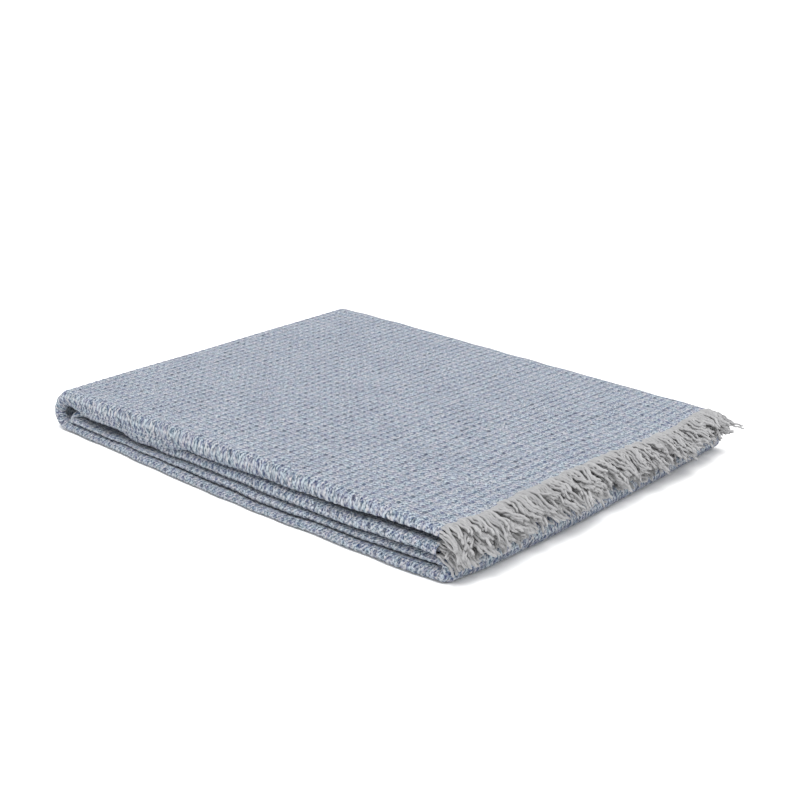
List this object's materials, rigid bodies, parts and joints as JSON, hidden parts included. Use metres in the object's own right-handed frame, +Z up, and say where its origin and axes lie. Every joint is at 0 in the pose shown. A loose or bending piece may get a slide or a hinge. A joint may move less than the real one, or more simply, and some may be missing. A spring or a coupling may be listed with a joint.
{
  "type": "folded fringed throw blanket",
  "caption": "Woven throw blanket folded lengthwise and crosswise into a flat pile with round front rolls, and a yarn fringe on both cut ends.",
  "frame": {"origin": "middle of the folded cloth's footprint, on the surface it lies on", "axes": "+X along the folded strip towards the fringed ends, -Y towards the front rolls, +Z up"},
  "size_m": [0.4565, 0.3349, 0.0387],
  "materials": {
    "cloth": "matt, a textured weave in blue and light grey",
    "fringe": "matt, loose light grey yarn"
  },
  "bodies": {
    "root": {"cloth": "cloth", "fringe_top": "fringe", "fringe_lower": "fringe"}
  },
  "joints": []
}
